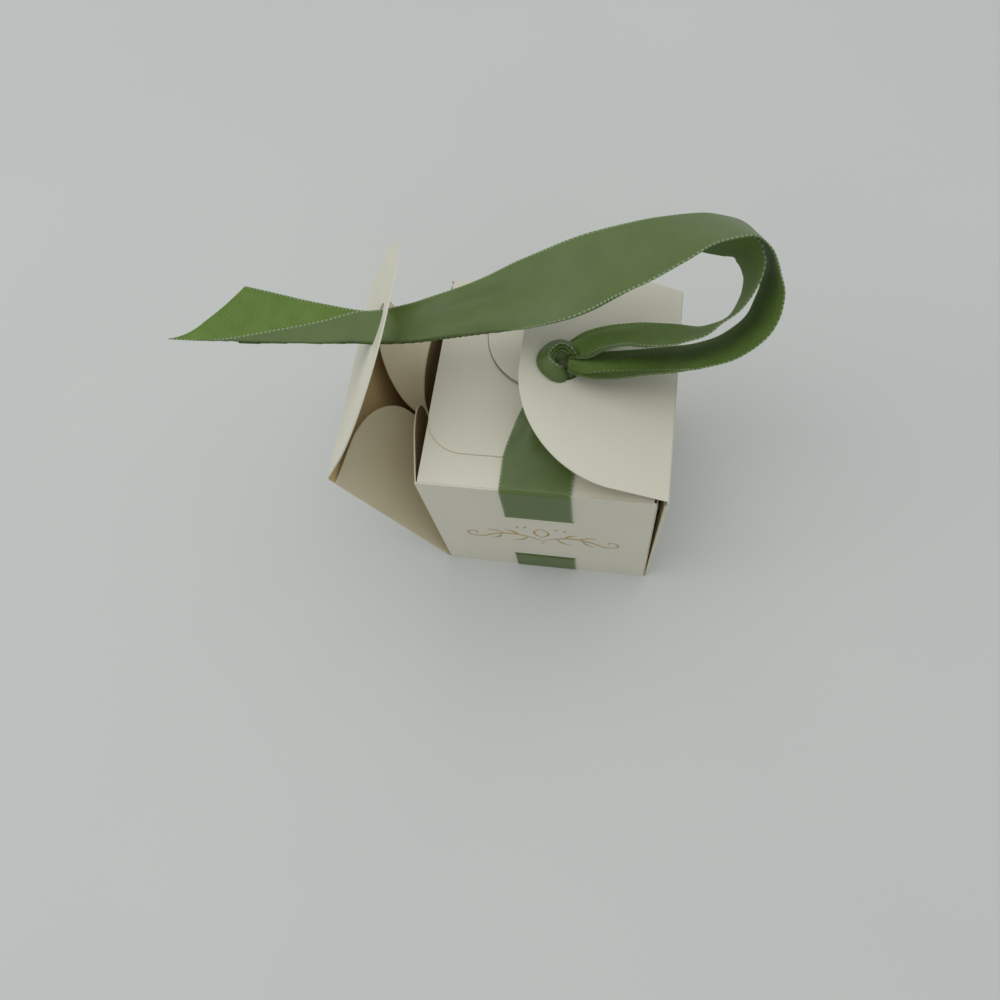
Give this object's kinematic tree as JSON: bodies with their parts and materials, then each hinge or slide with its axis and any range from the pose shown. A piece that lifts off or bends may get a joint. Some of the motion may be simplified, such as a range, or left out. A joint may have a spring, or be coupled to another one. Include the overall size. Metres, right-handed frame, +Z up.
{
  "type": "favor box",
  "caption": "Cube-shaped folded card favor box with gusseted corners, rounded punched top flaps and a ribbon wrapped round it and looped through the flaps as a handle.",
  "frame": {"origin": "centre of the flat underside, on the surface that the box stands on", "axes": "+X towards the side wall whose flap carries the knot, +Y from the front wall with the ribbon slits to the back wall, +Z up"},
  "size_m": [0.1195, 0.0514, 0.0854],
  "materials": {
    "pearl_card": "pearl satin",
    "green_ribbon": "satin"
  },
  "bodies": {
    "base": {"bottom_panel": "pearl_card", "front_wall": "pearl_card", "back_wall": "pearl_card", "back_dust_flap": "pearl_card", "ribbon_front_upper": "green_ribbon", "ribbon_front_inner": "green_ribbon", "ribbon_front_lower": "green_ribbon", "ribbon_bottom": "green_ribbon", "ribbon_back": "green_ribbon", "ribbon_top_front": "green_ribbon", "ribbon_top_back": "green_ribbon", "outer_tail_span": "green_ribbon", "inner_tail_span": "green_ribbon"},
    "left_wall": {"left_wall": "pearl_card"},
    "left_flap": {"left_round_flap": "pearl_card", "outer_tail_end": "green_ribbon", "inner_tail_end": "green_ribbon"},
    "right_wall": {"right_wall": "pearl_card"},
    "right_flap": {"right_round_flap": "pearl_card", "ribbon_knot": "green_ribbon", "ribbon_rise_front": "green_ribbon", "ribbon_rise_back": "green_ribbon", "outer_tail_start": "green_ribbon", "inner_tail_start": "green_ribbon", "outer_tail_loop": "green_ribbon", "inner_tail_loop": "green_ribbon"},
    "front_flap": {"front_dust_flap": "pearl_card"},
    "tab": {"tuck_tab": "pearl_card"},
    "web_front_left_end": {"web_front_left_end": "pearl_card"},
    "web_front_left_side": {"web_front_left_side": "pearl_card"},
    "web_back_left_end": {"web_back_left_end": "pearl_card"},
    "web_back_left_side": {"web_back_left_side": "pearl_card"},
    "web_front_right_end": {"web_front_right_end": "pearl_card"},
    "web_front_right_side": {"web_front_right_side": "pearl_card"},
    "web_back_right_end": {"web_back_right_end": "pearl_card"},
    "web_back_right_side": {"web_back_right_side": "pearl_card"}
  },
  "joints": [
    {"name": "left_wall_swing", "type": "hinge", "parent": "base", "child": "left_wall", "pos_m": [-0.02577, 0, 0.0003], "axis": [0, -1, 0], "range_deg": [-20.5, 26]},
    {"name": "left_flap_fold", "type": "hinge", "parent": "left_wall", "child": "left_flap", "pos_m": [-0.0448, 0, 0.0474], "axis": [0, -1, 0], "range_deg": [-28, 50], "deforming": ["outer_tail_span", "outer_tail_end", "inner_tail_span", "inner_tail_end"]},
    {"name": "right_wall_swing", "type": "hinge", "parent": "base", "child": "right_wall", "pos_m": [0.02577, 0, 0.0003], "axis": [0, 1, 0], "range_deg": [-1.1, 8]},
    {"name": "right_flap_fold", "type": "hinge", "parent": "right_wall", "child": "right_flap", "pos_m": [0.02705, 0, 0.05118], "axis": [0, 1, 0], "range_deg": [-17, 6], "deforming": ["ribbon_top_front", "ribbon_top_back", "ribbon_rise_front", "ribbon_rise_back", "outer_tail_start", "outer_tail_loop", "inner_tail_start", "inner_tail_loop"]},
    {"name": "front_flap_fold", "type": "hinge", "parent": "base", "child": "front_flap", "pos_m": [0, -0.0251, 0.0499], "axis": [-1, 0, 0], "range_deg": [0, 65]},
    {"name": "tuck_tab_lift", "type": "hinge", "parent": "base", "child": "tab", "pos_m": [0, 0.017, 0.0506], "axis": [-1, 0, 0], "range_deg": [-3, 2]},
    {"name": "web_front_left_end_fold", "type": "hinge", "parent": "base", "child": "web_front_left_end", "pos_m": [-0.02505, -0.0251, 0.0003], "axis": [0, 0, 1], "range_deg": [-10.88, 13.79]},
    {"name": "web_front_left_side_fold", "type": "hinge", "parent": "left_wall", "child": "web_front_left_side", "pos_m": [-0.02577, -0.0251, 0.0003], "axis": [0.3746, 0, -0.9272], "range_deg": [-10.88, 13.79]},
    {"name": "web_back_left_end_fold", "type": "hinge", "parent": "base", "child": "web_back_left_end", "pos_m": [-0.02505, 0.0251, 0.0003], "axis": [0, 0, -1], "range_deg": [-10.88, 13.79]},
    {"name": "web_back_left_side_fold", "type": "hinge", "parent": "left_wall", "child": "web_back_left_side", "pos_m": [-0.02577, 0.0251, 0.0003], "axis": [-0.3746, 0, 0.9272], "range_deg": [-10.88, 13.79]},
    {"name": "web_front_right_end_fold", "type": "hinge", "parent": "base", "child": "web_front_right_end", "pos_m": [0.02505, -0.0251, 0.0003], "axis": [0, 0, -1], "range_deg": [-0.56, 4.01]},
    {"name": "web_front_right_side_fold", "type": "hinge", "parent": "right_wall", "child": "web_front_right_side", "pos_m": [0.02577, -0.0251, 0.0003], "axis": [0.0251, 0, 0.9997], "range_deg": [-0.56, 4.01]},
    {"name": "web_back_right_end_fold", "type": "hinge", "parent": "base", "child": "web_back_right_end", "pos_m": [0.02505, 0.0251, 0.0003], "axis": [0, 0, 1], "range_deg": [-0.56, 4.01]},
    {"name": "web_back_right_side_fold", "type": "hinge", "parent": "right_wall", "child": "web_back_right_side", "pos_m": [0.02577, 0.0251, 0.0003], "axis": [-0.0251, 0, -0.9997], "range_deg": [-0.56, 4.01]}
  ],
  "couplings": [
    {"joint": "web_front_left_end_fold", "follows": "left_wall_swing", "ratio": 0.53},
    {"joint": "web_front_left_side_fold", "follows": "left_wall_swing", "ratio": 0.53},
    {"joint": "web_back_left_end_fold", "follows": "left_wall_swing", "ratio": 0.53},
    {"joint": "web_back_left_side_fold", "follows": "left_wall_swing", "ratio": 0.53},
    {"joint": "web_front_right_end_fold", "follows": "right_wall_swing", "ratio": 0.5},
    {"joint": "web_front_right_side_fold", "follows": "right_wall_swing", "ratio": 0.5},
    {"joint": "web_back_right_end_fold", "follows": "right_wall_swing", "ratio": 0.5},
    {"joint": "web_back_right_side_fold", "follows": "right_wall_swing", "ratio": 0.5}
  ]
}
